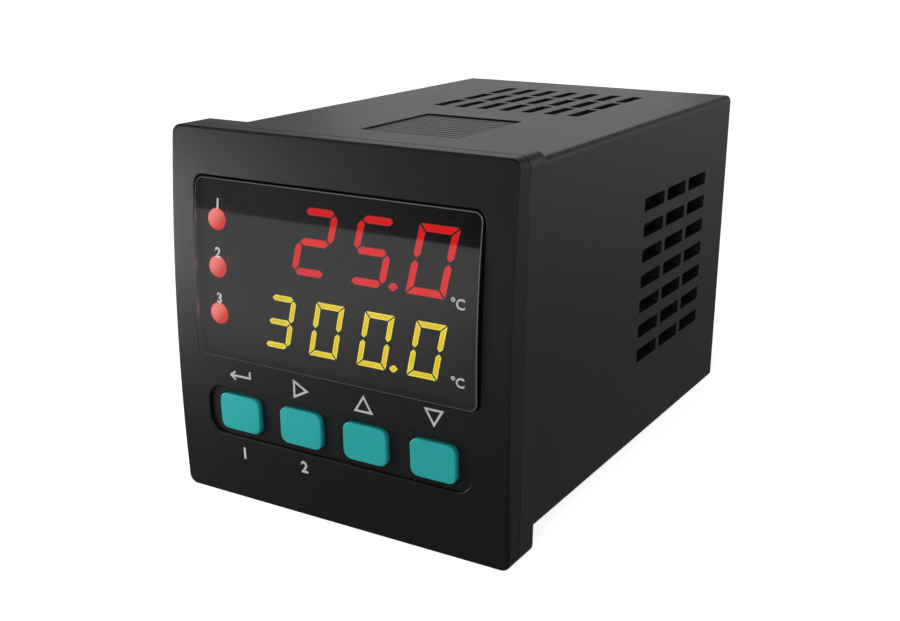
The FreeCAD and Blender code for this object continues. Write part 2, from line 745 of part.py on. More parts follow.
def core_centre_x():
    return BOARD_INNER_X - CORE_HEIGHT


def make_transformer_core():
    """Ferrite frame with a centre leg, in two halves glued together."""
    x = core_centre_x()
    half_y = CORE_LENGTH / 2
    half_z = CORE_DEPTH / 2
    frame = box(x - CORE_THICK / 2, x + CORE_THICK / 2, CORE_Y - half_y, CORE_Y + half_y, -half_z, half_z)
    cuts = []
    for side in (-1, 1):
        y0 = CORE_Y + side * CORE_CENTRE_LEG / 2
        y1 = CORE_Y + side * (half_y - CORE_LEG)
        cuts.append(box(x - CORE_THICK, x + CORE_THICK, min(y0, y1), max(y0, y1),
                        CORE_YOKE - half_z, half_z - CORE_YOKE))
    return frame.cut(cuts)


def bobbin_tube(margin, half_z):
    """The bobbin's square tube as a solid bar, larger by a margin."""
    x = core_centre_x()
    half_x = CORE_THICK / 2 + BOBBIN_FIT + margin
    half_y = CORE_CENTRE_LEG / 2 + BOBBIN_FIT + margin
    return rounded(box(x - half_x, x + half_x, CORE_Y - half_y, CORE_Y + half_y, -half_z, half_z), 0.3, 2)


def make_transformer_bobbin():
    """Coil former with two flanges and two feet that stand on the power board."""
    x = core_centre_x()
    half_z = CORE_DEPTH / 2 - CORE_YOKE - BOBBIN_FIT
    pieces = [bobbin_tube(BOBBIN_WALL, half_z)]
    half_y = CORE_LENGTH / 2 - CORE_LEG - BOBBIN_FIT
    for side in (-1, 1):
        z0 = min(side * half_z, side * (half_z - BOBBIN_WALL))
        pieces.append(box(x - BOBBIN_FLANGE_HEIGHT / 2, BOARD_INNER_X, CORE_Y - half_y, CORE_Y + half_y,
                          z0, z0 + BOBBIN_WALL))
        z1 = min(side * (half_z - BOBBIN_WALL), side * CORE_DEPTH / 2)
        foot_top = x + CORE_THICK / 2 + BOBBIN_FIT
        pieces.append(box(foot_top + BOBBIN_WALL, BOARD_INNER_X, CORE_Y - half_y, CORE_Y + half_y,
                          z1, z1 + CORE_YOKE + BOBBIN_FIT + BOBBIN_WALL))
    solid = joined(pieces)
    x_leg = CORE_THICK / 2 + BOBBIN_FIT
    y_leg = CORE_CENTRE_LEG / 2 + BOBBIN_FIT
    bore = box(x - x_leg, x + x_leg, CORE_Y - y_leg, CORE_Y + y_leg, -CORE_DEPTH, CORE_DEPTH)
    return solid.cut(bore)


def make_transformer_winding():
    """Taped coil round the bobbin, between its flanges."""
    half_z = CORE_DEPTH / 2 - CORE_YOKE - BOBBIN_FIT - BOBBIN_WALL
    outer = bobbin_tube(BOBBIN_WALL + WINDING_THICK, half_z)
    return outer.cut(bobbin_tube(BOBBIN_WALL, half_z + 1))


def make_bulk_capacitor():
    """Large electrolytic capacitor lying on the power board."""
    x = BOARD_INNER_X - BULK_CAP_R
    foot = BULK_CAP_Z - BULK_CAP_LENGTH / 2
    can = rod(BULK_CAP_R, (x, BULK_CAP_Y, foot), (0, 0, 1), BULK_CAP_LENGTH)
    can = can.makeFillet(0.5, [edge for edge in can.Edges if isinstance(edge.Curve, Part.Circle)])
    pieces = [can]
    for side in (-1, 1):
        y = BULK_CAP_Y + side * BULK_CAP_R / 2
        pieces.append(box(x, BOARD_INNER_X, y - 0.3, y + 0.3, foot - 1.2, foot - 0.6))
        pieces.append(box(x - 0.3, x + 0.3, y - 0.3, y + 0.3, foot - 1.2, foot + 1.0))
    return joined(pieces)


def make_small_capacitor(z):
    """Small electrolytic capacitor standing on the power board."""
    can = rod(SMALL_CAP_R, (BOARD_INNER_X - SMALL_CAP_LENGTH, SMALL_CAP_Y, z), (1, 0, 0), SMALL_CAP_LENGTH)
    return can.makeFillet(0.4, [edge for edge in can.Edges if isinstance(edge.Curve, Part.Circle)])


def make_film_capacitor():
    """Boxed film capacitor standing on the power board."""
    body = on_power_board(FILM_CAP_SIZE, *FILM_CAP_PLACE)
    return rounded(body, 0.4, 0)


def make_varistor():
    """Coated disc on two leads."""
    y, z = BOARD_END - VARISTOR_REAR - VARISTOR_THICK, VARISTOR_Z
    x = BOARD_INNER_X - VARISTOR_R - 1.2
    disc = rod(VARISTOR_R, (x, y, z), (0, 1, 0), VARISTOR_THICK)
    disc = disc.makeFillet(0.8, [edge for edge in disc.Edges if isinstance(edge.Curve, Part.Circle)])
    pieces = [disc]
    middle = y + VARISTOR_THICK / 2
    for side in (-1, 1):
        leg = z + side * VARISTOR_R / 2
        pieces.append(box(x, BOARD_INNER_X, middle - 0.3, middle + 0.3, leg - 0.3, leg + 0.3))
    return joined(pieces)


def make_fuse():
    """Round miniature fuse standing on the power board."""
    y, z = BOARD_END - FUSE_REAR - FUSE_R, CAVITY_BOTTOM + FUSE_FOOT_GAP + FUSE_R
    can = rod(FUSE_R, (BOARD_INNER_X - FUSE_LENGTH, y, z), (1, 0, 0), FUSE_LENGTH)
    return can.makeFillet(0.4, [edge for edge in can.Edges if isinstance(edge.Curve, Part.Circle)])


def dual_row_package(body, start, count, pitch, rows, board_x, side):
    """A chip body with bent leads along two sides, standing on a board.

    start is the first lead's Y, rows gives the Z of the body's two sides,
    and side points from the board into the sleeve."""
    pieces = [body]
    for i in range(count):
        y = start + i * pitch
        for z, out in ((rows[0], -1), (rows[1], 1)):
            x_low = board_x
            x_high = board_x + side * (abs(body.BoundBox.Center.x - board_x))
            z_far = z + out * 0.7
            z0, z1 = min(z - out * 0.3, z_far), max(z - out * 0.3, z_far)
            pieces.append(box(min(x_high, x_high - side * 0.2), max(x_high, x_high - side * 0.2),
                              y - 0.2, y + 0.2, z0, z1))
            w0, w1 = min(z_far, z_far - out * 0.2), max(z_far, z_far - out * 0.2)
            pieces.append(box(min(x_low, x_high), max(x_low, x_high), y - 0.2, y + 0.2, w0, w1))
    return joined(pieces)


def make_bridge():
    """Rectifier bridge with four leads."""
    size = BRIDGE_SIZE
    y, z = BOARD_END - BRIDGE_REAR - size[1], BRIDGE_Z
    body = box(BOARD_INNER_X - size[0], BOARD_INNER_X - 0.3, y, y + size[1], z, z + size[2])
    return dual_row_package(body, y + 1.0, 2, size[1] - 2.0, (z, z + size[2]), BOARD_INNER_X, -1)


def make_regulator():
    """Eight-lead switching regulator."""
    y, z = REGULATOR_PLACE
    size = REGULATOR_SIZE
    body = box(BOARD_INNER_X - size[0], BOARD_INNER_X - 0.3, y, y + size[1], z, z + size[2])
    return dual_row_package(body, y + 0.85, 4, HEADER_PITCH, (z, z + size[2]), BOARD_INNER_X, -1)


def make_relay(side):
    """Sealed relay standing on the main board."""
    z = RELAY_SPLIT / 2 if side > 0 else -RELAY_SPLIT / 2 - RELAY_SIZE[2]
    body = on_main_board(RELAY_SIZE, BOARD_END - RELAY_REAR - RELAY_SIZE[1], z)
    return rounded(body, 0.5, 0)


def make_controller_chip():
    """Flat square processor with leads on its four sides."""
    y, z = CONTROLLER_PLACE
    size = CONTROLLER_SIZE
    body = on_main_board((CONTROLLER_THICK, size, size), y, z, 0.1)
    pieces = [body]
    face = -BOARD_INNER_X
    for step in row_places(CONTROLLER_LEAD_COUNT, CONTROLLER_LEAD_PITCH, size / 2):
        for z0 in (z - 1.0, z + size):
            pieces.append(box(face, face + 0.2, y + step - 0.18, y + step + 0.18, z0 - 0.1, z0 + 1.1))
        for y0 in (y - 1.0, y + size):
            pieces.append(box(face, face + 0.2, y0 - 0.1, y0 + 1.1, z + step - 0.18, z + step + 0.18))
    return joined(pieces)


def make_converter_chip():
    """Measuring converter with leads along two sides."""
    y, z = CONVERTER_PLACE
    size = CONVERTER_SIZE
    body = on_main_board(size, y, z, 0.15)
    return dual_row_package(body, y + 1.15, CONVERTER_LEAD_COUNT, CONVERTER_LEAD_PITCH, (z, z + size[2]),
                            -BOARD_INNER_X, 1)


def make_crystal():
    """Metal can of the clock crystal, with rounded ends."""
    y, z = CRYSTAL_PLACE
    body = on_main_board(CRYSTAL_SIZE, y, z)
    return rounded(body, CRYSTAL_SIZE[1] / 2 - 0.2, 0)


def make_couplers():
    """Two four-lead optical couplers on the main board."""
    parts = []
    for z in COUPLER_Z:
        size = COUPLER_SIZE
        y = BOARD_END - COUPLER_REAR - size[1]
        body = on_main_board(size, y, z, 0.3)
        parts.append(dual_row_package(body, y + 1.0, 2, size[1] - 2.0, (z, z + size[2]),
                                      -BOARD_INNER_X, 1))
    return group(parts)


def terminal_places():
    """Centres of the twelve terminals: side and Z."""
    rows = row_places(TERMINAL_COUNT, TERMINAL_PITCH, SLEEVE_RISE)
    return [(side, z) for side in (-1, 1) for z in rows]


def cage_centre():
    return BLOCK_INNER_X + BLOCK_WIDTH - CAGE_INSET - CAGE_WIDTH / 2


def pin_cuts(y0, y1, gap):
    """The strips of the terminal pins between two depths, larger by a gap."""
    half_x = PIN_WIDTH / 2 + gap
    half_z = PIN_THICK / 2 + gap
    cuts = []
    for side, z in terminal_places():
        x = side * cage_centre()
        cuts.append(box(x - half_x, x + half_x, y0, y1, z - half_z, z + half_z))
    return cuts


def make_terminal_board():
    """Board across the rear that carries the terminal pins."""
    half_x = CAVITY_HALF_X - DISPLAY_BOARD_GAP + COVER_RIM / 2
    half_z = CAVITY_HALF_Z - DISPLAY_BOARD_GAP + COVER_RIM / 2
    y1 = TERMINAL_BOARD_Y + TERMINAL_BOARD_THICK
    board = plate(-half_x, half_x, TERMINAL_BOARD_Y, y1, SLEEVE_RISE - half_z, SLEEVE_RISE + half_z,
                  SLEEVE_INNER_R)
    return board.cut(pin_cuts(TERMINAL_BOARD_Y - 1, y1 + 1, PIN_GAP))


def make_rear_cover():
    """Plate in the sleeve's rear end, with a rim that presses on the terminal board."""
    half_x = CAVITY_HALF_X - COVER_FIT
    half_z = CAVITY_HALF_Z - COVER_FIT
    front = TERMINAL_BOARD_Y + TERMINAL_BOARD_THICK
    cover = plate(-half_x, half_x, front, SLEEVE_LENGTH, SLEEVE_RISE - half_z, SLEEVE_RISE + half_z,
                  SLEEVE_INNER_R)
    hollow = box(COVER_RIM - half_x, half_x - COVER_RIM, front - 1, SLEEVE_LENGTH - COVER_THICK,
                 SLEEVE_RISE - half_z + COVER_RIM, SLEEVE_RISE + half_z - COVER_RIM)
    return cover.cut([hollow] + pin_cuts(front - 1, SLEEVE_LENGTH + 1, PIN_GAP))


def make_terminal_block(side):
    """Row of six terminal chambers behind the rear cover."""
    half = TERMINAL_COUNT * TERMINAL_PITCH / 2 + BLOCK_END
    outer = BLOCK_INNER_X + BLOCK_WIDTH
    x0 = min(side * BLOCK_INNER_X, side * outer)
    y0 = SLEEVE_LENGTH
    y1 = y0 + BLOCK_DEPTH
    body = box(x0, x0 + BLOCK_WIDTH, y0, y1, SLEEVE_RISE - half, SLEEVE_RISE + half)
    body = rounded(body, BLOCK_EDGE_R, 1)
    floor = y0 + CAGE_FLOOR
    ceiling = floor + CAGE_HEIGHT + 2 * CAGE_GAP
    shoulder = ceiling + SHOULDER_THICK
    centre = side * cage_centre()
    cuts = pin_cuts(y0 - 1, floor + 1, PIN_GAP)
    cage_half = CAGE_WIDTH / 2 + CAGE_GAP
    cage_side = CAGE_SIDE / 2 + CAGE_GAP
    wire_y = floor + CAGE_HEIGHT / 2
    for z in row_places(TERMINAL_COUNT, TERMINAL_PITCH, SLEEVE_RISE):
        cuts.append(box(centre - cage_half, centre + cage_half, floor, ceiling, z - cage_side, z + cage_side))
        cuts.append(rod(SCREW_HEAD_R + SCREW_WELL_GAP, (centre, shoulder, z), (0, 1, 0), y1 - shoulder + 1))
        cuts.append(rod(SCREW_R + CAGE_GAP, (centre, ceiling - 1, z), (0, 1, 0), SHOULDER_THICK + 2))
        w0 = min(centre, side * (outer + 1))
        w1 = max(centre, side * (outer + 1))
        cuts.append(box(w0, w1, wire_y - WIRE_HOLE / 2, wire_y + WIRE_HOLE / 2,
                        z - WIRE_HOLE / 2, z + WIRE_HOLE / 2))
    for z in row_places(TERMINAL_COUNT - 1, TERMINAL_PITCH, SLEEVE_RISE):
        groove = box(x0 - 1, x0 + BLOCK_WIDTH + 1, y1 - SHOULDER_THICK, y1 + 1, z - 0.4, z + 0.4)
        cuts.append(groove)
    return body.cut(cuts)


def make_terminal_cages():
    """Rising clamp frames with a wire hole and a threaded roof."""
    floor = SLEEVE_LENGTH + CAGE_FLOOR
    wire_y = floor + CAGE_HEIGHT / 2
    cages = []
    for side, z in terminal_places():
        x = side * cage_centre()
        body = box(x - CAGE_WIDTH / 2, x + CAGE_WIDTH / 2, floor, floor + CAGE_HEIGHT,
                   z - CAGE_SIDE / 2, z + CAGE_SIDE / 2)
        hole = box(x - CAGE_WIDTH, x + CAGE_WIDTH, wire_y - WIRE_HOLE / 2, wire_y + WIRE_HOLE / 2,
                   z - WIRE_HOLE / 2, z + WIRE_HOLE / 2)
        thread = rod(SCREW_R, (x, wire_y, z), (0, 1, 0), CAGE_HEIGHT)
        cages.append(body.cut([hole, thread]))
    return group(cages)


def make_terminal_screws():
    """Slotted clamp screws in their wells."""
    floor = SLEEVE_LENGTH + CAGE_FLOOR
    shoulder = floor + CAGE_HEIGHT + 2 * CAGE_GAP + SHOULDER_THICK
    tip = floor + SCREW_TIP
    head_end = shoulder + SCREW_HEAD_THICK
    screws = []
    for side, z in terminal_places():
        x = side * cage_centre()
        head = rod(SCREW_HEAD_R, (x, shoulder, z), (0, 1, 0), SCREW_HEAD_THICK)
        head = head.makeChamfer(SCREW_HEAD_EDGE, flat_face_edges(head, head_end))
        shank = rod(SCREW_R, (x, tip, z), (0, 1, 0), shoulder - tip)
        slot = box(x - SCREW_HEAD_R, x + SCREW_HEAD_R, head_end - SCREW_SLOT, head_end + 1,
                   z - SCREW_SLOT / 2, z + SCREW_SLOT / 2)
        screws.append(joined([head, shank]).cut(slot))
    return group(screws)


def make_terminal_pins():
    """Flat pins from the terminal board to the clamp frames."""
    return group(pin_cuts(TERMINAL_BOARD_Y, SLEEVE_LENGTH + CAGE_FLOOR, 0.0))


def build():
    """Every piece by name."""
    pieces = {
        "housing": make_housing(),
        "front_bezel": make_bezel(),
        "display_window": make_window(),
        "display_board": make_display_board(),
        "main_board": make_long_board(-1),
        "power_board": make_long_board(1),
        "terminal_board": make_terminal_board(),
        "rear_cover": make_rear_cover(),
        "terminal_block_left": make_terminal_block(-1),
        "terminal_block_right": make_terminal_block(1),
        "terminal_clamps": make_terminal_cages(),
        "terminal_screws": make_terminal_screws(),
        "terminal_pins": make_terminal_pins(),
        "main_header": make_header(-1, MAIN_HEADER_PINS),
        "power_header": make_header(1, POWER_HEADER_PINS),
        "header_pins": make_header_pins(),
        "lamp_holder": make_lamp_holder(),
        "transformer_core": make_transformer_core(),
        "transformer_bobbin": make_transformer_bobbin(),
        "transformer_winding": make_transformer_winding(),
        "bulk_capacitor": make_bulk_capacitor(),
        "output_capacitor_1": make_small_capacitor(SMALL_CAP_Z[0]),
        "output_capacitor_2": make_small_capacitor(SMALL_CAP_Z[1]),
        "film_capacitor": make_film_capacitor(),
        "varistor": make_varistor(),
        "mains_fuse": make_fuse(),
        "rectifier_bridge": make_bridge(),
        "regulator_chip": make_regulator(),
        "relay_1": make_relay(1),
        "relay_2": make_relay(-1),
        "controller_chip": make_controller_chip(),
        "converter_chip": make_converter_chip(),
        "clock_crystal": make_crystal(),
        "optical_couplers": make_couplers(),
    }
    upper = make_display(" 250", 2, (UPPER_CENTRE_X, UPPER_CENTRE_Z), UPPER_DIGIT_WIDTH, UPPER_DIGIT_HEIGHT,
                         UPPER_STROKE, UPPER_SLANT, UPPER_PITCH,
                         (UPPER_POINT_LENGTH, UPPER_POINT_HEIGHT), UPPER_MARGIN)
    lower = make_display("3000", 2, (LOWER_CENTRE_X, LOWER_CENTRE_Z), LOWER_DIGIT_WIDTH, LOWER_DIGIT_HEIGHT,
                         LOWER_STROKE, LOWER_SLANT, LOWER_PITCH,
                         (LOWER_POINT_LENGTH, LOWER_POINT_HEIGHT), LOWER_MARGIN)
    for name, parts in (("process", upper), ("setpoint", lower)):
        pieces[name + "_display"] = parts[0]
        pieces[name + "_segments_lit"] = parts[1]
        pieces[name + "_segments_dark"] = parts[2]
    for name, x in zip(KEY_NAMES, key_places()):
        pieces["key_" + name] = make_key(x)
        pieces["switch_case_" + name] = make_switch(x)
        pieces["switch_button_" + name] = make_plunger(x)
    for name, z in zip(LAMP_NAMES, lamp_places()):
        pieces["status_lamp_" + name] = make_lamp(z)
    return pieces


def save(pieces):
    """Write each piece to its own STEP file."""
    os.makedirs("parts", exist_ok=True)
    for name, shape in sorted(pieces.items()):
        shape.exportStep("parts/" + name + ".step")
        print(name, len(shape.Solids), "solids", round(shape.Volume, 2), "mm3", "valid", shape.isValid())


save(build())
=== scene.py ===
import json
import math

import bmesh
import bpy
import numpy as np
from mathutils import Matrix, Vector


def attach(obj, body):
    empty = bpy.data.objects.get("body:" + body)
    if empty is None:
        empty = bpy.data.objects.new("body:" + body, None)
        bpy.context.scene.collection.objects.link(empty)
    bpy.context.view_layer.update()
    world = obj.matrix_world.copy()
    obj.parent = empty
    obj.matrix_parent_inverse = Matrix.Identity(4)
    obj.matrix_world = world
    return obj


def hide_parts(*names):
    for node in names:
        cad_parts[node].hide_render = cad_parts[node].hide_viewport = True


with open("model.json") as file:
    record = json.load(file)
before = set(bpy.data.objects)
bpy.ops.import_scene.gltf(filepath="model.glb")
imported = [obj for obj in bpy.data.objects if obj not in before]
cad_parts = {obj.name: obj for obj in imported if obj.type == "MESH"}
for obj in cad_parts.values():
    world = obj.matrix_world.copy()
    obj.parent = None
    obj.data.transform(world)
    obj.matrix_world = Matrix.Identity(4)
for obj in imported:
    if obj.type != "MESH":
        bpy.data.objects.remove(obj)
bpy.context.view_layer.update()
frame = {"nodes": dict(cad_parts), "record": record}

MM = 0.001
nodes = frame["nodes"]
scene = bpy.context.scene
scene.view_settings.view_transform = "Standard"

# Sizes shared with the solids, in millimetres
FRONT_HALF = 24.0
FRONT_BOW = 1.07
FRONT_APEX = 7.0
FRONT_RADIUS = (FRONT_HALF ** 2 + FRONT_BOW ** 2) / (2 * FRONT_BOW)
LENS_POINTS = np.array([(18.0, -6.47), (6.65, -7.42), (-4.7, -7.2)])
SLEEVE_LENGTH = 67.1
SLEEVE_LIFT = 1.72

# Sizes that only the scene has, in millimetres, and the spread of a printed letter in units of its type
INK_PROUD = 0.01
INK_STROKE = 0.28
INK_SPREAD = 0.03
RED_RIM = 0.2
YELLOW_RIM = 0.17
SAME_POINT = 0.0005


def linear(code):
    """sRGB hex to linear colour: a channel c gives ((c + 0.055) / 1.055) ** 2.4, or c / 12.92 when small."""
    channels = [int(code[i:i + 2], 16) / 255 for i in (1, 3, 5)]
    return [((c + 0.055) / 1.055) ** 2.4 if c > 0.04045 else c / 12.92 for c in channels] + [1.0]


def add(tree, kind, values=None, links=None, **properties):
    """One shader node, with its properties, its socket values and the outputs linked to its sockets."""
    made = tree.nodes.new(kind)
    for name, value in properties.items():
        setattr(made, name, value)
    for socket, value in (values or {}).items():
        made.inputs[socket].default_value = value
    for socket, source in (links or {}).items():
        tree.links.new(source, made.inputs[socket])
    return made


def material(name):
    """An empty node material and its tree."""
    made = bpy.data.materials.new(name)
    made.use_nodes = True
    made.node_tree.nodes.clear()
    return made, made.node_tree


def per_mm(size):
    """Texture scale for features of this many millimetres, as Object coordinates are in metres."""
    return 1.0 / (size * MM)


def tones(tree, fac, dark, light, low=0.3, high=0.7):
    """Two colours spread over a pattern's middle range."""
    ramp = add(tree, "ShaderNodeValToRGB", links={"Fac": fac})
    ramp.color_ramp.elements[0].position = low
    ramp.color_ramp.elements[1].position = high
    ramp.color_ramp.elements[0].color = linear(dark)
    ramp.color_ramp.elements[1].color = linear(light)
    return ramp.outputs["Color"]


def surface(tree, values, links):
    """The Principled surface and the output."""
    shader = add(tree, "ShaderNodeBsdfPrincipled", values, links)
    add(tree, "ShaderNodeOutputMaterial", links={"Surface": shader.outputs["BSDF"]})


PLASTIC_IOR = 1.5
CLOUD_SIZE = 7.0
PIT_SHARE = 0.45
DULLING = 0.05


def moulded(name, dark, light, rough, grain, height, specular=0.5):
    """Moulded or cast plastic: pits of the grain's size and height, and a faint cloudy change of tone."""
    made, tree = material(name)
    place = add(tree, "ShaderNodeTexCoord").outputs["Object"]
    cloud = add(tree, "ShaderNodeTexNoise", {"Scale": per_mm(CLOUD_SIZE), "Detail": 3.0}, {"Vector": place})
    pits = add(tree, "ShaderNodeTexNoise", {"Scale": per_mm(grain), "Detail": 2.0, "Roughness": 0.6},
               {"Vector": place})
    blend = add(tree, "ShaderNodeMix", {"Factor": PIT_SHARE},
                {"A": cloud.outputs["Fac"], "B": pits.outputs["Fac"]})
    colour = tones(tree, blend.outputs["Result"], dark, light)
    spread = add(tree, "ShaderNodeMapRange", {"To Min": rough - DULLING, "To Max": rough + DULLING},
                 {"Value": blend.outputs["Result"]})
    bump = add(tree, "ShaderNodeBump", {"Strength": 1.0, "Distance": height * MM},
               {"Height": pits.outputs["Fac"]})
    surface(tree, {"IOR": PLASTIC_IOR, "Specular IOR Level": specular},
            {"Base Color": colour, "Roughness": spread.outputs["Result"], "Normal": bump.outputs["Normal"]})
    return made


ACRYLIC_IOR = 1.49
RIPPLE_SIZE = 14.0
HAZE_SIZE = 3.0
RIPPLE_HEIGHT = 0.01
SIDE_ROUGHNESS = 0.9
PAINTED_EDGE_HIGHLIGHT = 0.1


def smoked_acrylic():
    """Smoked acrylic, moulded and polished: clear but dark, with the faintest ripple and dust-fine haze.

    The part of the normal that points forwards tells its faces from its sides. The sides are matt and nearly
    black, painted shade for where they sit in the bezel, and the rounded edge round the front glows with a
    pale line, a painted highlight for the light that such an edge catches.
    """
    made, tree = material("acrylic_smoked_polished")
    coords = add(tree, "ShaderNodeTexCoord")
    place = coords.outputs["Object"]
    ripple = add(tree, "ShaderNodeTexNoise", {"Scale": per_mm(RIPPLE_SIZE), "Detail": 1.0}, {"Vector": place})
    haze = add(tree, "ShaderNodeTexNoise", {"Scale": per_mm(HAZE_SIZE), "Detail": 3.0}, {"Vector": place})
    polished = add(tree, "ShaderNodeMapRange", {"To Min": 0.03, "To Max": 0.07},
                   {"Value": haze.outputs["Fac"]})
    tint = tones(tree, ripple.outputs["Fac"], "#67676a", "#6b6b6e")
    facing = add(tree, "ShaderNodeSeparateXYZ", links={0: coords.outputs["Normal"]})
    forward = add(tree, "ShaderNodeMath", links={0: facing.outputs["Y"]}, operation="ABSOLUTE")
    face = add(tree, "ShaderNodeMapRange", {"From Min": 0.9, "From Max": 0.985},
               {"Value": forward.outputs["Value"]})
    # Painted highlight: the rounded edge round the front glows faintly, a pale line of painted light.
    rounded = add(tree, "ShaderNodeMapRange",
                  {"From Min": -0.99, "From Max": -0.95, "To Min": 0.0, "To Max": PAINTED_EDGE_HIGHLIGHT},
                  {"Value": facing.outputs["Y"]})
    ahead = add(tree, "ShaderNodeMapRange", {"From Min": -0.55, "From Max": -0.75},
                {"Value": facing.outputs["Y"]})
    edge = add(tree, "ShaderNodeMath", links={0: rounded.outputs["Result"], 1: ahead.outputs["Result"]},
               operation="MULTIPLY")
    rough = add(tree, "ShaderNodeMix", {"A": SIDE_ROUGHNESS},
                {"Factor": face.outputs["Result"], "B": polished.outputs["Result"]})
    # Painted shade: the sides, where they sit in the bezel, are near black in place of the tint.
    colour = add(tree, "ShaderNodeMix", {"A": linear("#040404")},
                 {"Factor": face.outputs["Result"], "B": tint}, data_type="RGBA")
    bump = add(tree, "ShaderNodeBump", {"Strength": 0.15, "Distance": RIPPLE_HEIGHT * MM},
               {"Height": ripple.outputs["Fac"]})
    surface(tree, {"Transmission Weight": 1.0, "IOR": ACRYLIC_IOR, "Coat Weight": 1.0, "Coat Roughness": 0.03},
            {"Base Color": colour.outputs["Result"], "Roughness": rough.outputs["Result"],
             "Normal": bump.outputs["Normal"], "Emission Strength": edge.outputs["Value"]})
    return made


def lit_bar(name, rim, core, strength):
    """Cast epoxy over a light-emitting chip: a paler rim round a deeper core, by the piece's attribute core.

    The core's share is the attribute times the sum of 0.4 and a soft cloud, less 0.1.
    """
    made, tree = material(name)
    place = add(tree, "ShaderNodeTexCoord").outputs["Object"]
    glow = add(tree, "ShaderNodeTexNoise", {"Scale": per_mm(1.2), "Detail": 1.0}, {"Vector": place})
    inside = add(tree, "ShaderNodeAttribute", attribute_name="core").outputs["Fac"]
    clouded = add(tree, "ShaderNodeMath", {2: -0.1}, {0: glow.outputs["Fac"], 1: inside},
                  operation="MULTIPLY_ADD")
    blend = add(tree, "ShaderNodeMath", {1: 0.4}, {0: inside, 2: clouded.outputs["Value"]},
                operation="MULTIPLY_ADD")
    colour = tones(tree, blend.outputs["Value"], rim, core, 0.1, 0.75)
    surface(tree, {"Roughness": 0.35, "Emission Strength": strength},
            {"Base Color": colour, "Emission Color": colour})
    return made


LAMP_PAINTED_HIGHLIGHT_SIDE = (-0.45, -0.74, 0.5)


def lit_lamp(name, rim, painted_highlight_colour, strength):
    """Diffused epoxy lamp, lit from within, with a painted highlight: brightest where its dome looks up and to
    the left, deeper towards its rim.
    """
    made, tree = material(name)
    coords = add(tree, "ShaderNodeTexCoord")
    # Painted highlight: the lamp's light is strongest where the dome faces up and to the left, towards the soft
    # boxes.
    facing = add(tree, "ShaderNodeVectorMath", {1: LAMP_PAINTED_HIGHLIGHT_SIDE}, {0: coords.outputs["Normal"]},
                 operation="DOT_PRODUCT")
    cloud = add(tree, "ShaderNodeTexNoise", {"Scale": per_mm(1.0), "Detail": 2.0},
                {"Vector": coords.outputs["Object"]})
    level = add(tree, "ShaderNodeMath", {1: 0.12}, {0: cloud.outputs["Fac"], 2: facing.outputs["Value"]},
                operation="MULTIPLY_ADD")
    colour = tones(tree, level.outputs["Value"], rim, painted_highlight_colour, 0.35, 1.02)
    surface(tree, {"Roughness": 0.3, "Emission Strength": strength},
            {"Base Color": colour, "Emission Color": colour})
    return made


def screen_ink(name, dark, light):
    """Screen-printed ink: matt, with the slight unevenness that the screen's mesh leaves."""
    made, tree = material(name)
    place = add(tree, "ShaderNodeTexCoord").outputs["Object"]
    mesh = add(tree, "ShaderNodeTexNoise", {"Scale": per_mm(0.35), "Detail": 2.0}, {"Vector": place})
    colour = tones(tree, mesh.outputs["Fac"], dark, light)
    bump = add(tree, "ShaderNodeBump", {"Strength": 0.3, "Distance": 0.004 * MM},
               {"Height": mesh.outputs["Fac"]})
    surface(tree, {"Roughness": 0.6}, {"Base Color": colour, "Normal": bump.outputs["Normal"]})
    return made


def metal(name, dark, light, rough, streak):
    """Plated or turned metal: fine streaks from drawing or turning, and patches of duller plating."""
    made, tree = material(name)
    place = add(tree, "ShaderNodeTexCoord").outputs["Object"]
    stretched = add(tree, "ShaderNodeMapping", {"Scale": (1.0, 8.0, 1.0)}, {"Vector": place})
    lines = add(tree, "ShaderNodeTexNoise", {"Scale": per_mm(streak), "Detail": 3.0},
                {"Vector": stretched.outputs["Vector"]})
    colour = tones(tree, lines.outputs["Fac"], dark, light)
    spread = add(tree, "ShaderNodeMapRange", {"To Min": rough - 0.08, "To Max": rough + 0.08},
                 {"Value": lines.outputs["Fac"]})
    bump = add(tree, "ShaderNodeBump", {"Strength": 0.4, "Distance": 0.01 * MM},
               {"Height": lines.outputs["Fac"]})
    surface(tree, {"Metallic": 1.0}, {"Base Color": colour, "Roughness": spread.outputs["Result"],
                                      "Normal": bump.outputs["Normal"]})
    return made


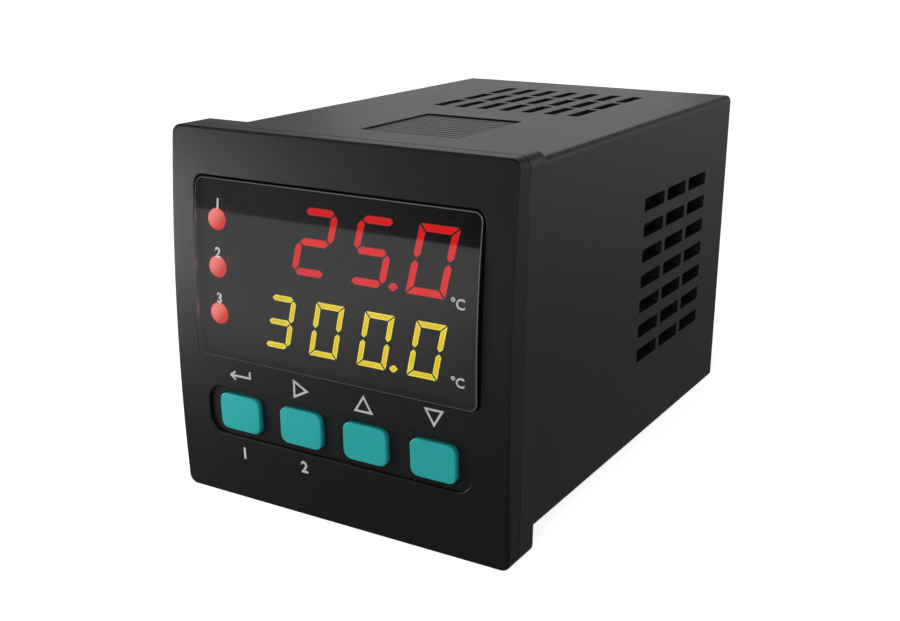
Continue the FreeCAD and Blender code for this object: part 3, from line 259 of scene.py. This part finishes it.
# One finish for each material slot of the record. A moulded one gives two tones, the roughness, and the size
# and height of its grain in millimetres. The real grain of the case is near 0.1 mm, too fine to show, so it is
# drawn about three times as coarse.
finishes = {
    # Flame-retardant ABS from a spark-eroded mould: charcoal with a dull, even sheen
    "housing_plastic": moulded("abs_charcoal_spark_eroded", "#161617", "#1b1b1c", 0.42, 0.34, 0.018),
    # The same from a finer mould: darker, and a speckle that shows in raking light
    "bezel_plastic": moulded("abs_charcoal_fine_grain", "#0e0e0f", "#151516", 0.4, 0.26, 0.028, specular=0.35),
    "window_tinted": smoked_acrylic(),
    # Solder mask over copper: glossy green of uneven thickness
    "board": moulded("fibreglass_green_solder_mask", "#14502c", "#1c6538", 0.3, 1.4, 0.02),
    # Polyamide from a plain mould: near black and satin
    "terminal_plastic": moulded("polyamide_black_moulded", "#1b1c1d", "#222324", 0.45, 0.3, 0.02),
    # Pressed steel, zinc plated: cool grey with soft streaks
    "clamp_steel": metal("steel_zinc_plated_pressed", "#a5a8a8", "#c6c9c8", 0.38, 0.5),
    # Turned steel, nickel plated: warmer and brighter
    "screw_steel": metal("steel_nickel_plated_turned", "#b5b4ae", "#d3d2cc", 0.28, 0.4),
    # Stamped brass, tin plated: pale and a little dull
    "tinned_brass": metal("brass_tin_plated_stamped", "#a9a69d", "#cbc8c0", 0.33, 0.4),
    # Glass-filled polyamide: black and matt
    "header_plastic": moulded("polyamide_black_header", "#161617", "#1d1d1e", 0.5, 0.2, 0.01),
    # Sintered and ground ferrite: stony dark grey, rough
    "ferrite": moulded("ferrite_sintered_ground", "#2c2b2a", "#3a3937", 0.6, 0.15, 0.02),
    # Polyester tape in layers: glossy yellow, slightly uneven
    "winding_tape": moulded("polyester_tape_yellow_wound", "#b98f14", "#d6ab22", 0.25, 1.2, 0.02),
    # Shrunk PVC sleeve: navy, glossy, softly wavy
    "capacitor_sleeve": moulded("pvc_sleeve_navy_shrunk", "#141c3a", "#1b254a", 0.28, 1.5, 0.015),
    # Moulded polyester box: ochre and satin
    "film_box": moulded("polyester_box_ochre_moulded", "#a97d1b", "#bf9027", 0.4, 0.4, 0.01),
    # Dipped epoxy: blue, wet-looking, with the dip's waves
    "varistor_coat": moulded("epoxy_blue_dipped", "#1c4a8c", "#27599f", 0.22, 1.1, 0.05),
    # Transfer-moulded epoxy: black and matt
    "chip_epoxy": moulded("epoxy_black_transfer_moulded", "#1a1a1b", "#232324", 0.55, 0.12, 0.01),
    # Moulded PBT: blue and satin
    "relay_case": moulded("pbt_blue_moulded", "#173f86", "#1e4b98", 0.38, 0.5, 0.01),
    # Drawn steel can, nickel plated: the brightest metal
    "crystal_can": metal("steel_nickel_plated_drawn", "#b9b9b6", "#d6d6d2", 0.22, 0.6),
    # Transfer-moulded epoxy with white filler: chalky
    "coupler_epoxy": moulded("epoxy_white_transfer_moulded", "#cfcdc6", "#e0ded8", 0.5, 0.2, 0.01),
    # Moulded PBT with a painted face: flat dark grey, which hides behind the window
    "display_body": moulded("pbt_grey_painted_face", "#1a1a1b", "#1e1e1f", 0.6, 0.3, 0.01),
    # Lit epoxy bars: even light with a paler border
    "segments_red": lit_bar("epoxy_red_cast_lit", "#cc2c2c", "#f00808", 6.1),
    "segments_yellow": lit_bar("epoxy_yellow_cast_lit", "#f8ea58", "#e3c30b", 7.1),
    # The same epoxy unlit: as dark as the face round it
    "segments_dark": moulded("epoxy_grey_cast_unlit", "#1b1b1c", "#202021", 0.5, 0.5, 0.005),
    # ABS coloured through: teal, with a soft satin sheen
    "key_teal": moulded("abs_teal_fine_grain", "#22b6b4", "#2bc0be", 0.42, 0.2, 0.012, specular=0.35),
    # Polyamide: black and matt
    "switch_button": moulded("polyamide_black_button", "#141415", "#1a1a1b", 0.5, 0.3, 0.01),
    # Milky red epoxy, lit from within: soft light, fullest on the dome, with a painted highlight up and to the
    # left
    "lamp_red": lit_lamp("epoxy_red_diffused_lamp", "#d42a1c", "#fa8074", 7.3),
}
slot_of = {part["node"]: part["material_slot"] for part in frame["record"]["subparts"]}
for name, obj in nodes.items():
    obj.data.materials.clear()
    obj.data.materials.append(finishes[slot_of[name]])


def face_y(z):
    """Y of the bowed front at height z: a circle about X."""
    return FRONT_RADIUS - FRONT_APEX - np.sqrt(FRONT_RADIUS ** 2 - np.asarray(z) ** 2)


lens_circle = np.linalg.solve(np.c_[2 * LENS_POINTS, np.ones(3)], (LENS_POINTS ** 2).sum(axis=1))
LENS_RADIUS = math.sqrt(lens_circle[2] + (lens_circle[:2] ** 2).sum())


def lens_y(z):
    """Y of the window's bowed front at height z: the circle about X through its top, middle and foot."""
    return lens_circle[1] - np.sqrt(LENS_RADIUS ** 2 - (np.asarray(z) - lens_circle[0]) ** 2)


def piece(name, mesh, finish):
    """A finished piece on the controller: doubles merged, faces turned outwards, its place in its mesh."""
    shape = bmesh.new()
    shape.from_mesh(mesh)
    bmesh.ops.remove_doubles(shape, verts=shape.verts, dist=SAME_POINT * MM)
    bmesh.ops.recalc_face_normals(shape, faces=shape.faces)
    shape.to_mesh(mesh)
    shape.free()
    mesh.materials.clear()
    mesh.materials.append(finish)
    made = bpy.data.objects.new(name, mesh)
    scene.collection.objects.link(made)
    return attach(made, "controller")


def lettered(name, words, centre, height, surface_y, finish):
    """A printed figure in the plain built-in face.

    Its outline is scaled to the height round its centre, and each point's Y is the surface's at that height,
    less the ink's thickness at the front and plus it at the back, so that the ink is a closed shell.
    """
    curve = bpy.data.curves.new(name, "FONT")
    curve.body = words
    curve.extrude = 0.5
    curve.offset = INK_SPREAD
    curve.resolution_u = 5
    holder = bpy.data.objects.new(name, curve)
    mesh = bpy.data.meshes.new_from_object(holder)
    bpy.data.objects.remove(holder)
    points = np.empty(len(mesh.vertices) * 3)
    mesh.vertices.foreach_get("co", points)
    points = points.reshape(-1, 3)
    low = points.min(axis=0)
    high = points.max(axis=0)
    points = (points - (low + high) / 2) / (high - low)
    width = height * (high[0] - low[0]) / (high[1] - low[1])
    z = centre[1] + points[:, 1] * height
    placed = np.c_[centre[0] + points[:, 0] * width, surface_y(z) - points[:, 2] * 2 * INK_PROUD, z]
    mesh.vertices.foreach_set("co", (placed * MM).ravel())
    piece(name, mesh, finish)


def drawn(name, corners, closed, surface_y, finish):
    """A printed line: a flat band carried along a path of corners given as X and Z.

    At each corner the band's edges are offset along the mitre, which is the sum of the two runs' normals over
    one plus their dot product. A closed path keeps the whole band inside its corners, and an open one has half
    on each side. Each edge has a point before and one behind the surface, which makes a closed shell.
    """
    path = np.array(corners, float)
    ahead = np.roll(path, -1, axis=0) - path
    if not closed:
        ahead[-1] = ahead[-2]
    ahead /= np.linalg.norm(ahead, axis=1)[:, None]
    before = np.roll(ahead, 1, axis=0)
    if not closed:
        before[0] = ahead[0]
    normal = np.c_[-ahead[:, 1], ahead[:, 0]]
    last = np.c_[-before[:, 1], before[:, 0]]
    mitre = (normal + last) / (1 + (normal * last).sum(axis=1))[:, None]
    shares = np.array([0.0, 1.0] if closed else [-0.5, 0.5])
    across = path[:, None] + shares[None, :, None] * INK_STROKE * mitre[:, None]
    ring = across[:, [0, 1, 1, 0]]
    proud = np.array([-1.0, -1.0, 1.0, 1.0]) * INK_PROUD
    points = np.stack([ring[..., 0], surface_y(ring[..., 1]) + proud, ring[..., 1]], axis=-1)
    points = points.reshape(-1, 3)
    count = len(path)
    runs = np.arange(count if closed else count - 1)
    row, side = [grid.ravel() for grid in np.meshgrid(runs, np.arange(4), indexing="ij")]
    after = (row + 1) % count
    turn = (side + 1) % 4
    faces = np.c_[row * 4 + side, row * 4 + turn, after * 4 + turn, after * 4 + side].tolist()
    if not closed:
        faces += [[3, 2, 1, 0], [count * 4 - 4, count * 4 - 3, count * 4 - 2, count * 4 - 1]]
    mesh = bpy.data.meshes.new(name)
    mesh.from_pydata((points * MM).tolist(), [], faces)
    piece(name, mesh, finish)


FLAT_FRONT = 0.99
SQUARE_ON = 0.999
SAME_PLANE = math.radians(1)


def rimmed(name, node, rim):
    """A lit node's bars with a rim: flat fronts are inset, and attribute core is 1 on normals square on."""
    shape = bmesh.new()
    shape.from_mesh(nodes[node].data)
    bmesh.ops.remove_doubles(shape, verts=shape.verts, dist=SAME_POINT * MM)
    bmesh.ops.dissolve_limit(shape, angle_limit=SAME_PLANE, verts=shape.verts, edges=shape.edges)
    shape.normal_update()
    fronts = [face for face in shape.faces if face.normal.y < -FLAT_FRONT]
    bmesh.ops.inset_individual(shape, faces=fronts, thickness=rim * MM, use_even_offset=True)
    mesh = bpy.data.meshes.new(name)
    shape.to_mesh(mesh)
    shape.free()
    made = piece(name, mesh, finishes[slot_of[node]])
    normals = np.empty(len(mesh.vertices) * 3)
    mesh.vertices.foreach_get("normal", normals)
    core = mesh.attributes.new("core", "FLOAT", "POINT")
    core.data.foreach_set("value", (normals[1::3] < -SQUARE_ON).astype(np.float32))
    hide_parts(node)


rimmed("process_bars_lit", "process_segments_lit", RED_RIM)
rimmed("setpoint_bars_lit", "setpoint_segments_lit", YELLOW_RIM)

# Screen-printed ink, light grey. Figures: words, X and Z of the centre, height and the surface they are on
ink = screen_ink("ink_light_grey_screen_printed", "#cbcbcb", "#dadada")
for name, words, centre, height, surface_y in [
    ("print_lamp_upper", "1", (-16.4, 14.95), 1.3, lens_y),
    ("print_lamp_middle", "2", (-16.3, 8.95), 1.35, lens_y),
    ("print_lamp_lower", "3", (-16.2, 3.2), 1.35, lens_y),
    ("print_unit_upper", "°C", (17.58, 7.7), 1.35, lens_y),
    ("print_unit_lower", "°C", (17.68, -1.4), 1.3, lens_y),
    ("print_key_one", "1", (-13.97, -17.43), 1.6, face_y),
    ("print_key_two", "2", (-4.5, -17.16), 1.6, face_y),
]:
    lettered(name, words, centre, height, surface_y, ink)

# Signs over the keys: X and Z of the corners, and whether the path closes
for name, corners, closed in [
    ("print_enter_hook", [(-12.3, -6.0), (-12.3, -6.85), (-14.95, -6.85)], False),
    ("print_enter_head", [(-14.6, -6.3), (-15.3, -6.85), (-14.6, -7.4)], False),
    ("print_shift", [(-5.6, -8.1), (-3.25, -6.85), (-5.6, -5.6)], True),
    ("print_up", [(3.3, -7.9), (6.06, -7.9), (4.72, -5.62)], True),
    ("print_down", [(13.0, -5.4), (14.38, -7.66), (15.73, -5.4)], True),
]:
    drawn(name, corners, closed, face_y, ink)

# Stage: a pale floor that the controller rests on, leaning back on its sleeve's rear edge
FLOOR_SLOPE = SLEEVE_LIFT / SLEEVE_LENGTH
FLOOR_FRONT = -760.0
FLOOR_BACK = 5000.0
FLOOR_HALF = 4000.0
CLOTH_GAP = 20.0
CLOTH_HALF = 3000.0
CLOTH_FOOT = -80.0
CLOTH_TOP = 1500.0
FIBRE_SIZE = 60.0
PAPER_WHITE = 0.82


def floor_z(y):
    """Height of the floor under a given Y, in millimetres."""
    return -FRONT_HALF + FLOOR_SLOPE * y


def stage_sheet(name, corners, finish):
    """A flat sheet of the stage through four corners."""
    mesh = bpy.data.meshes.new(name)
    mesh.from_pydata([tuple(c * MM for c in corner) for corner in corners], [], [(0, 1, 2, 3)])
    mesh.materials.append(finish)
    made = bpy.data.objects.new(name, mesh)
    scene.collection.objects.link(made)
    return made


def paper():
    """Matt white paper: white to the camera, and to reflections a painted grey, painted shade that is darkest
    close to the controller.

    In metres of the floor's own X and Y, the grey grows to the left in front, to the right and behind, and in
    the left rear and right front corners, where X times Y is negative. The lightest of these holds.
    """
    made, tree = material("paper_white_matt")
    place = add(tree, "ShaderNodeTexCoord").outputs["Object"]
    fibre = add(tree, "ShaderNodeTexNoise", {"Scale": per_mm(FIBRE_SIZE), "Detail": 2.0}, {"Vector": place})
    colour = tones(tree, fibre.outputs["Fac"], "#e9e9e9", "#ebebeb")
    # Painted reflection: only reflections see this grey, with painted shade near the controller and painted
    # light further out.
    rays = add(tree, "ShaderNodeLightPath")
    spot = add(tree, "ShaderNodeSeparateXYZ", links={0: place})
    left = add(tree, "ShaderNodeMapRange",
               {"From Min": 0.0, "From Max": -0.08, "To Min": 0.3, "To Max": 0.56},
               {"Value": spot.outputs["X"]}, interpolation_type="SMOOTHSTEP")
    clear = add(tree, "ShaderNodeMapRange",
                {"From Min": -0.01, "From Max": -0.07, "To Min": 0.5, "To Max": 1.0},
                {"Value": spot.outputs["Y"]}, interpolation_type="SMOOTHSTEP")
    front = add(tree, "ShaderNodeMath", links={0: left.outputs["Result"], 1: clear.outputs["Result"]},
                operation="MULTIPLY")
    right = add(tree, "ShaderNodeMapRange",
                {"From Min": 0.026, "From Max": 0.116, "To Min": 0.03, "To Max": 0.29},
                {"Value": spot.outputs["X"]})
    behind = add(tree, "ShaderNodeMapRange",
                 {"From Min": 0.04, "From Max": 0.15, "To Min": 0.0, "To Max": 0.05},
                 {"Value": spot.outputs["Y"]})
    beside = add(tree, "ShaderNodeMath", links={0: right.outputs["Result"], 1: behind.outputs["Result"]})
    near = add(tree, "ShaderNodeMath", links={0: front.outputs["Value"], 1: beside.outputs["Value"]},
               operation="MAXIMUM")
    across = add(tree, "ShaderNodeMath", links={0: spot.outputs["X"], 1: spot.outputs["Y"]},
                 operation="MULTIPLY")
    corners = add(tree, "ShaderNodeMapRange",
                  {"From Min": -0.0004, "From Max": -0.006, "To Min": 0.0, "To Max": 0.8},
                  {"Value": across.outputs["Value"]}, interpolation_type="SMOOTHSTEP")
    grey = add(tree, "ShaderNodeMath", links={0: near.outputs["Value"], 1: corners.outputs["Result"]},
               operation="MAXIMUM")
    matt = add(tree, "ShaderNodeBsdfDiffuse", links={"Color": colour})
    white = add(tree, "ShaderNodeEmission", {"Color": linear("#ffffff"), "Strength": PAPER_WHITE})
    mirrored = add(tree, "ShaderNodeEmission", {"Color": linear("#ffffff")},
                   {"Strength": grey.outputs["Value"]})
    seen = add(tree, "ShaderNodeAddShader", links={0: matt.outputs["BSDF"], 1: white.outputs["Emission"]})
    direct = add(tree, "ShaderNodeMixShader",
                 links={0: rays.outputs["Is Camera Ray"], 1: matt.outputs["BSDF"], 2: seen.outputs["Shader"]})
    both = add(tree, "ShaderNodeMixShader",
               links={0: rays.outputs["Is Glossy Ray"], 1: direct.outputs["Shader"],
                      2: mirrored.outputs["Emission"]})
    add(tree, "ShaderNodeOutputMaterial", links={"Surface": both.outputs["Shader"]})
    return made


def dark_cloth():
    """Dark cloth beyond the floor's front edge, which only reflections see: its glow is painted light, which
    lightens far to the left.
    """
    made, tree = material("cloth_dark_backdrop")
    place = add(tree, "ShaderNodeTexCoord").outputs["Object"]
    spot = add(tree, "ShaderNodeSeparateXYZ", links={0: place})
    level = add(tree, "ShaderNodeMapRange",
                {"From Min": -0.38, "From Max": -0.6, "To Min": 0.045, "To Max": 0.2},
                {"Value": spot.outputs["X"]})
    glow = add(tree, "ShaderNodeEmission", {"Color": linear("#ffffff")}, {"Strength": level.outputs["Result"]})
    add(tree, "ShaderNodeOutputMaterial", links={"Surface": glow.outputs["Emission"]})
    return made


stage_sheet("floor", [(-FLOOR_HALF, FLOOR_FRONT, floor_z(FLOOR_FRONT)),
                      (FLOOR_HALF, FLOOR_FRONT, floor_z(FLOOR_FRONT)),
                      (FLOOR_HALF, FLOOR_BACK, floor_z(FLOOR_BACK)),
                      (-FLOOR_HALF, FLOOR_BACK, floor_z(FLOOR_BACK))], paper())
cloth = stage_sheet("front_cloth", [(-CLOTH_HALF, FLOOR_FRONT - CLOTH_GAP, CLOTH_FOOT),
                                    (CLOTH_HALF, FLOOR_FRONT - CLOTH_GAP, CLOTH_FOOT),
                                    (CLOTH_HALF, FLOOR_FRONT - CLOTH_GAP, CLOTH_TOP),
                                    (-CLOTH_HALF, FLOOR_FRONT - CLOTH_GAP, CLOTH_TOP)], dark_cloth())
cloth.visible_camera = False
cloth.visible_diffuse = False
cloth.visible_shadow = False
cloth.visible_transmission = False


def soft_light(name, place, target, size, power):
    """A square soft box that points at a target, in millimetres and watts."""
    data = bpy.data.lights.new(name, "AREA")
    data.shape = "SQUARE"
    data.size = size * MM
    data.energy = power
    made = bpy.data.objects.new(name, data)
    made.location = Vector(place) * MM
    made.rotation_euler = (Vector(target) - Vector(place)).to_track_quat("-Z", "Y").to_euler()
    scene.collection.objects.link(made)
    return made


box_left = soft_light("soft_box_left", (-135, -64, -14), (-10, 0, 0), 44, 0.155)
soft_light("soft_box_front", (120, -310, 120), (0, 0, 0), 150, 0.23)
soft_light("soft_box_back", (-180, 420, 330), (0, 30, 0), 300, 0.12)
soft_light("soft_box_right", (170, 290, 50), (24, 30, 0), 140, 0.02)
soft_light("soft_box_side", (400, 240, 80), (20, 60, 0), 260, 0.2)
soft_light("soft_box_top", (-200, -110, 330), (0, 0, 10), 120, 0.12)
soft_light("soft_box_rear", (-45, 125, 45), (-5, 50, 22), 80, 0.007)

# The lamp at the left is close and small: the polished window doesn't mirror it
spared = bpy.data.collections.new("spared_by_soft_box_left")
spared.objects.link(nodes["display_window"])
box_left.light_linking.receiver_collection = spared
spared.collection_objects[0].light_linking.link_state = "EXCLUDE"

# The studio round it: white to the camera, an even level for the light it sheds, and to reflections a grey
# that is lighter behind and darker overhead
ROOM_LEVEL = 0.22
world = bpy.data.worlds.new("studio")
scene.world = world
world.use_nodes = True
world.node_tree.nodes.clear()
sky = world.node_tree
rays = add(sky, "ShaderNodeLightPath")
heading = add(sky, "ShaderNodeSeparateXYZ", links={0: add(sky, "ShaderNodeTexCoord").outputs["Generated"]})
rear = add(sky, "ShaderNodeMapRange", {"From Min": -0.1, "From Max": 0.7, "To Min": 0.1, "To Max": 0.31},
           {"Value": heading.outputs["Y"]}, interpolation_type="SMOOTHSTEP")
low = add(sky, "ShaderNodeMapRange", {"From Min": 0.4, "From Max": 0.9, "To Min": 1.0, "To Max": 0.15},
          {"Value": heading.outputs["Z"]}, interpolation_type="SMOOTHSTEP")
side = add(sky, "ShaderNodeMath", links={0: rear.outputs["Result"], 1: low.outputs["Result"]},
           operation="MULTIPLY")
mirrored = add(sky, "ShaderNodeMath",
               links={0: rays.outputs["Is Glossy Ray"], 1: rays.outputs["Is Transmission Ray"]},
               operation="MAXIMUM")
room = add(sky, "ShaderNodeMix", {"A": ROOM_LEVEL},
           {"Factor": mirrored.outputs["Value"], "B": side.outputs["Value"]})
level = add(sky, "ShaderNodeMix", {"B": 1.0},
            {"Factor": rays.outputs["Is Camera Ray"], "A": room.outputs["Result"]})
backdrop = add(sky, "ShaderNodeBackground", {"Color": linear("#ffffff")},
               {"Strength": level.outputs["Result"]})
add(sky, "ShaderNodeOutputWorld", links={"Surface": backdrop.outputs["Background"]})

# Camera at the photograph's place: its angles, and its focal length in pixels of a picture 900 wide
AZIMUTH = math.radians(31.789)
ELEVATION = math.radians(16.821)
ROLL = math.radians(0.070)
CAMERA_PLACE = (82.32, -122.45, 46.65)
FOCAL_PIXELS = 1259.14
PICTURE_WIDTH = 900
SENSOR_WIDTH = 36.0
data = bpy.data.cameras.new("camera")
data.sensor_width = SENSOR_WIDTH
data.lens = FOCAL_PIXELS * SENSOR_WIDTH / PICTURE_WIDTH
data.shift_x = 0.048
data.shift_y = 0.0016
data.clip_start = 0.01
camera = bpy.data.objects.new("camera", data)
back = Vector((math.sin(AZIMUTH) * math.cos(ELEVATION), -math.cos(AZIMUTH) * math.cos(ELEVATION),
               math.sin(ELEVATION)))
turn = (-back).to_track_quat("-Z", "Y").to_matrix().to_4x4() @ Matrix.Rotation(ROLL, 4, "Z")
camera.matrix_world = Matrix.Translation(Vector(CAMERA_PLACE) * MM) @ turn
scene.collection.objects.link(camera)
scene.camera = camera
